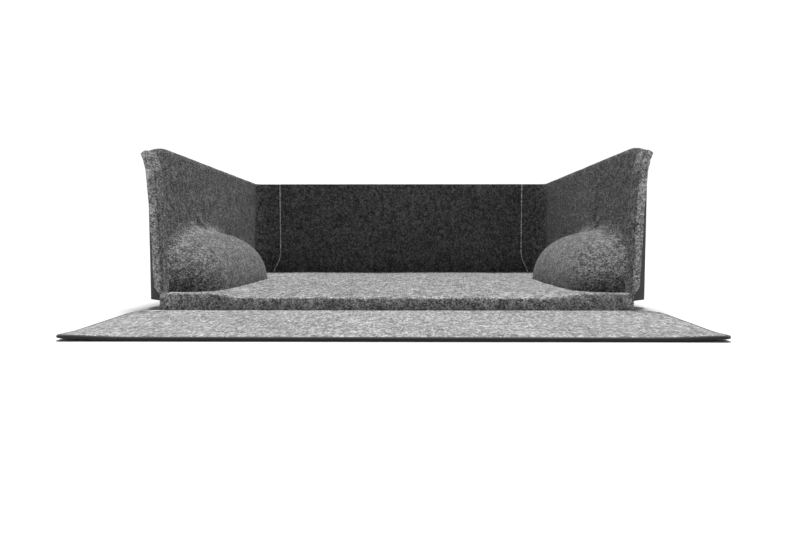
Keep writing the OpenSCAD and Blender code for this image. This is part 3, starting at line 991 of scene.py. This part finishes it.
def front_foam_piece():
    """Full thickness between the side sections' front returns, and thin where it laps over them."""
    middle = FRONT_RETURN_X - 0.0018
    face = front_foam_low.y + 0.0002
    near, far = FRONT_Y - WALL_THICK - 0.0004, FRONT_Y - HOOK_RISE
    inside = np.linspace(-middle, middle, 91)
    points, outline = [], front_outline()
    for z, half in outline:
        wing = np.linspace(FRONT_RETURN_X, half, 7)
        points += [[x, face, z] for x in np.concatenate([-wing[::-1], inside, wing])]
    points = np.array(points)
    faces = grid_faces(len(outline), len(inside) + 14)
    faces = facing(points, faces, (0, face, 0.3), (0, -1, 0))
    behind = points.copy()
    behind[:, 1] = np.where(np.abs(points[:, 0]) < middle + 1e-4, far, near)
    obj = shell("front_foam_sheet", points, faces, 0, 0, behind)
    soften_edges(obj, 0.0009)
    return obj


def sweep(name, line, profile):
    """A ring-shaped bar whose cross-section follows a closed line in the X-Y plane. The profile's
    points are (distance to the line's right, height)."""
    around = np.vstack([line[-1:], line, line[:1], line[1:2]])
    rings = [np.column_stack([beside(around, -d)[1:-2], np.full(len(line), z)]) for d, z in profile]
    rows, count = len(line), len(profile)
    points = np.stack(rings, 1).reshape(-1, 3)
    faces = []
    for r in range(rows):
        for c in range(count):
            a, b, s = r * count, (r + 1) % rows * count, (c + 1) % count
            faces.append((a + c, a + s, b + s, b + c))
    return solid(name, points, faces, 60)


def build_binding():
    line = spaced(np.vstack([gate_outline(), gate_outline()[:1]]), 0.012)[:-1]
    top = gate_high.z
    outside = [(-7.0, 0.6), (-3.5, 0.9), (0, 1.4), (1.1, 2.6), (1.6, 4.6), (1.2, 6.6), (0.1, 8.0)]
    inside = [(-4, 9), (-4, 7.8), (-0.5, 6.0), (-0.5, 3.4), (-3.5, 2.4), (-7.0, 1.8)]
    profile = [(d / 1000, top - down / 1000) for d, down in outside + inside]
    obj = sweep("tailgate_binding_tape", line, profile)
    curl_piece(obj)
    dress(obj, BINDING, GATE)
    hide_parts("tailgate_edge_binding")
    inside = beside(np.vstack([gate_outline(), gate_outline()[:2]]), 0.0046)[:-1]
    seam = stitches("binding_stitches", inside, top - 0.00055, 0.0052, 0.0038, 0.00036)
    curl_piece(seam)
    dress(seam, THREAD, GATE)


def stitches(name, line, height, spacing, length, radius):
    """A row of short raised threads along a line in the X-Y plane."""
    run = np.concatenate([[0], np.cumsum(np.linalg.norm(np.diff(line, axis=0), axis=1))])
    verts, faces = [], []
    shape = [(-0.5, 0.35), (-0.25, 1.0), (0.25, 1.0), (0.5, 0.35)]
    sides = 6
    for start in np.arange(spacing, run[-1] - spacing, spacing):
        here = np.array([np.interp(start, run, line[:, k]) for k in (0, 1)])
        ahead = np.array([np.interp(start + 0.001, run, line[:, k]) for k in (0, 1)])
        along = unit(ahead - here)
        across = np.array([-along[1], along[0]])
        faces += ring_faces(len(verts), sides, len(shape))
        for t, fat in shape:
            centre = here + along * t * length
            sink = -radius * 0.9 * (1 - fat)
            for k in range(sides):
                a = 2 * math.pi * k / sides
                flat = centre + across * math.cos(a) * radius * fat
                verts.append((flat[0], flat[1], height + sink + math.sin(a) * radius * fat))
    return solid(name, verts, faces, 60)


def build_flap():
    """The flap hangs from under the floor's rounded edge and turns back below the zipper."""
    face_y = flap_high.y - 0.004
    low_z = flap_low.z
    bends = [(face_y + 0.0012, 0.0165), (face_y - 0.0004, 0.010)]
    bends += [(face_y - 0.0008, low_z + 0.0035), (flap_low.y, low_z + 0.0008)]
    line = spaced(rounded(bends, [0, 0.01, 0.003, 0], 6), 0.003)
    columns = np.linspace(-flap_high.x, flap_high.x, 121)
    points = np.array([[x, y, z] for y, z in line for x in columns])
    faces = grid_faces(len(line), len(columns))
    hang = smoothstep(0.014, -0.004, points[:, 2])
    points[:, 1] += hang * (waves(points, 0.22, 0.0006, 41) - 0.0004)
    points[:, 2] += lip(points) * smoothstep(0.0, 0.016, points[:, 2])
    faces = facing(points, faces, (0, face_y, 0), (0, -1, 0))
    obj = shell("hinge_flap_strip", points, faces, 0, -0.0032)
    soften_edges(obj, 0.0010)
    # The flap gets the lightened copy of the carpet, a painted light.
    obj.data.materials.append(FOLD_CARPET_PAINTED_LIGHT)
    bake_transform(obj)
    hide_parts("hinge_flap")


def build_zipper():
    """Every turn of the nylon coil shows as a small bead on each side of the slit."""
    middle_y = (coil_low.y + coil_high.y) / 2
    middle_z = (coil_low.z + coil_high.z) / 2
    half = (coil_high.y - coil_low.y) / 2
    pitch, slit = 0.0030, 0.0004
    count = int((coil_high.x - coil_low.x) / pitch) - 1
    ring = np.linspace(0, 2 * math.pi, 9)[:-1]
    stations = np.linspace(0, 1, 5)
    verts, faces = [], []
    for row in (-1, 1):
        for k in range(count):
            x = coil_low.x + (k + 0.75 + 0.25 * row) * pitch
            faces += ring_faces(len(verts), len(ring), len(stations))
            for t in stations:
                y = middle_y + row * (slit + t * (half - slit))
                thin = 0.0009 * (0.75 + 0.25 * math.sin(math.pi * min(1, t + 0.35)))
                for a in ring:
                    z = middle_z + 1.05 * thin * math.sin(a)
                    verts.append((x + thin * math.cos(a), y, z))
    obj = make_object("zipper_coil_teeth", verts, faces)
    shade(obj, 50)
    dress(obj, NYLON, GATE)
    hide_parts("zipper_coils")
    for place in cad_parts["zipper_end_stops"].material_slots:
        place.link = "OBJECT"
        place.material = METAL
    for node, body in (("zipper_slider", "slider"), ("zipper_pull", "pull")):
        cast = bpy.data.objects.new(f"{node}_casting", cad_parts[node].data.copy())
        bpy.context.scene.collection.objects.link(cast)
        weld(cast)
        soften_edges(cast, 0.00035)
        dress(cast, METAL, body)
        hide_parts(node)
    zipper_tape("flap", 51)
    zipper_tape("gate", 52)


def weld(obj):
    """Joins the vertices that share a place."""
    mesh = bmesh.new()
    mesh.from_mesh(obj.data)
    bmesh.ops.remove_doubles(mesh, verts=mesh.verts[:], dist=1e-6)
    mesh.to_mesh(obj.data)
    mesh.free()


def zipper_tape(side, seed):
    """A woven tape beside the coil, with the row of stitches that holds it."""
    low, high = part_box(f"zipper_tape_{side}_side")
    ys = np.linspace(low.y, high.y, 2 + int((high.y - low.y) / 0.0035))
    xs = np.linspace(low.x, high.x, 241)
    middle = (low.z + high.z) / 2
    points = np.array([[x, y, middle] for y in ys for x in xs])
    points[:, 2] += waves(points, 0.06, 0.00012, seed)
    faces = facing(points, grid_faces(len(ys), len(xs)), (0, low.y, middle), (0, 0, 1))
    half = (high.z - low.z) / 2 - 0.00005
    obj = shell(f"zipper_tape_{side}_side_web", points, faces, half, -half)
    shade(obj)
    dress(obj, TAPE, GATE)
    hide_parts(f"zipper_tape_{side}_side")
    y = high.y - 0.0030 if side == "gate" else (low.y + high.y) / 2
    line = np.array([[low.x + 0.004, y], [high.x - 0.004, y]])
    seam = stitches(f"zipper_{side}_stitches", line, high.z + 0.0001, 0.0045, 0.0033, 0.0003)
    dress(seam, THREAD, GATE)


def build_tag():
    """A plain tag, sewn down along one short side and lifting a little at the other."""
    columns, rows = 17, 7
    low, size = tag_low, tag_high - tag_low
    points = []
    for v in np.linspace(0, 1, rows):
        for u in np.linspace(0, 1, columns):
            lift = 0.0006 + 0.0012 * u * u + 0.0003 * math.sin(u * 9 + v * 2)
            points.append([low.x + u * size.x, low.y + v * size.y, low.z + lift])
    points = np.array(points)
    faces = facing(points, grid_faces(rows, columns), tuple(points[0]), (0, 0, 1))
    obj = shell("blank_tag_cloth", points, faces, 0, -0.0005)
    shade(obj)
    dress(obj, COTTON, GATE)
    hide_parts("blank_tag")


def build_strips():
    for side in ("left", "right", "front", "tailgate"):
        hook_piece(f"{side}_hook_strips")


def loose_boxes(node):
    """The lowest and highest corners of each separate solid in a CAD node."""
    mesh = bmesh.new()
    mesh.from_mesh(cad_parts[node].data)
    bmesh.ops.remove_doubles(mesh, verts=mesh.verts[:], dist=1e-6)
    left = set(mesh.verts)
    found = []
    while left:
        group = [left.pop()]
        for vert in group:
            for edge in vert.link_edges:
                other = edge.other_vert(vert)
                if other in left:
                    left.discard(other)
                    group.append(other)
        places = [vert.co[:] for vert in group]
        found.append((np.min(places, axis=0), np.max(places, axis=0)))
    mesh.free()
    return sorted(found, key=lambda box: tuple(np.round(box[0], 4)))


def hook_piece(node):
    """Strips of woven tape that carry rows of small moulded hooks on their outer face."""
    verts, faces = [], []
    for low, high in loose_boxes(node):
        thin = int(np.argmin(high - low))
        across, along = sorted((k for k in range(3) if k != thin), key=lambda k: high[k] - low[k])
        outer, inner = (high, low) if high[thin] > 0 else (low, high)
        up = np.sign(outer[thin] - inner[thin])
        top = outer[thin] - up * 0.0009

        def put(a, b, height):
            point = np.zeros(3)
            point[across], point[along], point[thin] = a, b, height
            return point

        ends = ((low, low), (high, low), (high, high), (low, high))
        frame_points = rounded([[p[across], q[along]] for p, q in ends], [0.003] * 4, 4)
        middle = (low + high) / 2
        rings = [(0.0, inner[thin]), (0.0, top - up * 0.0003), (0.0003, top)]
        faces += ring_faces(len(verts), len(frame_points), len(rings))
        for inset, height in rings:
            for a, b in frame_points:
                a -= np.sign(a - middle[across]) * inset
                b -= np.sign(b - middle[along]) * inset
                verts.append(put(a, b, height))
        for b in np.arange(low[along] + 0.0035, high[along] - 0.003, 0.0038):
            for a in np.arange(low[across] + 0.003, high[across] - 0.0025, 0.0032):
                faces += ring_faces(len(verts), 4, 3)
                for shift, half, height in (
                    (0.0, 0.00050, top - up * 0.0002),
                    (0.0001, 0.00032, top + up * 0.0005),
                    (0.0007, 0.00030, outer[thin]),
                ):
                    for s, t in ((-1, -1), (1, -1), (1, 1), (-1, 1)):
                        verts.append(put(a + s * half, b + shift + t * half, height))
    obj = solid(f"{node}_tape", verts, faces)
    dress(obj, HOOKS, GATE if node.startswith("tailgate") else BED)
    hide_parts(node)


# ---- stage, light and camera


def build_stage():
    """A pale floor, with a low step that carries the bed part as the truck's bed floor would."""
    pale = Nodes("pale_floor").finish(base_color=grey(0.54), roughness=0.7, specular_ior_level=0.2)
    ground_z = gate_foam_low.z - 0.0006
    square = np.array([[-1, -1, 0], [1, -1, 0], [1, 1, 0], [-1, 1, 0]], float)
    ground = make_object("ground", square * 30.0 + (0, 0, ground_z), [(0, 1, 2, 3)])
    top = square * (0.73, 0.84, 0) + (0, 0.012, -0.001)
    step = shell("step", top, [(0, 1, 2, 3)], 0, ground_z + 0.0012)
    for obj in (ground, step):
        obj.data.materials.append(pale)


def build_light():
    """A soft light from overhead, and a pale sky that is brightest ahead, low over the cab."""
    n = Nodes("studio", bpy.data.worlds)
    bpy.context.scene.world = n.owner
    place = n.add("ShaderNodeTexCoord").outputs["Generated"]
    _, y, z = n.add("ShaderNodeSeparateXYZ", {0: place}).outputs
    ahead = n.spread(y, 0.55, 0.80)
    behind = n.spread(y, -0.30, -0.65)
    front = n.spread(z, 0.42, 0.62, SKY_AHEAD, SKY_ABOVE)
    back = n.spread(z, 0.30, 0.62, SKY_BEHIND, SKY_ABOVE)
    around = n.spread(z, 0.22, 0.60, SKY_BESIDE, SKY_ABOVE)
    sky = n.add("ShaderNodeMix", {0: ahead, 2: around, 3: front}).outputs[0]
    sky = n.add("ShaderNodeMix", {0: behind, 2: sky, 3: back}).outputs[0]
    background = n.add("ShaderNodeBackground", {"Color": sky}).outputs[0]
    n.add("ShaderNodeOutputWorld", {"Surface": background})
    data = bpy.data.lights.new("overhead", "SUN")
    data.energy = LAMP
    data.angle = math.radians(16)
    lamp = bpy.data.objects.new("overhead", data)
    bpy.context.scene.collection.objects.link(lamp)
    lamp.location = (0, 0, 4)
    lamp.rotation_euler = (math.radians(-14), math.radians(2), 0)
    bpy.context.scene.view_settings.view_transform = "Standard"


def build_camera():
    """A low camera behind the open tailgate, aimed slightly down."""
    data = bpy.data.cameras.new("camera")
    data.sensor_width = 36.0
    data.lens = 28.5
    camera = bpy.data.objects.new("camera", data)
    bpy.context.scene.collection.objects.link(camera)
    camera.location = (0.032, REAR_Y - 1.986, FLOOR_TOP + 0.174)
    camera.rotation_euler = (math.radians(90 - 3.45), 0, math.radians(0.56))
    bpy.context.scene.camera = camera


build_camera()
build_light()
build_stage()
build_sides()
build_floor()
build_front()
build_gate()
build_binding()
build_flap()
build_zipper()
build_tag()
build_strips()
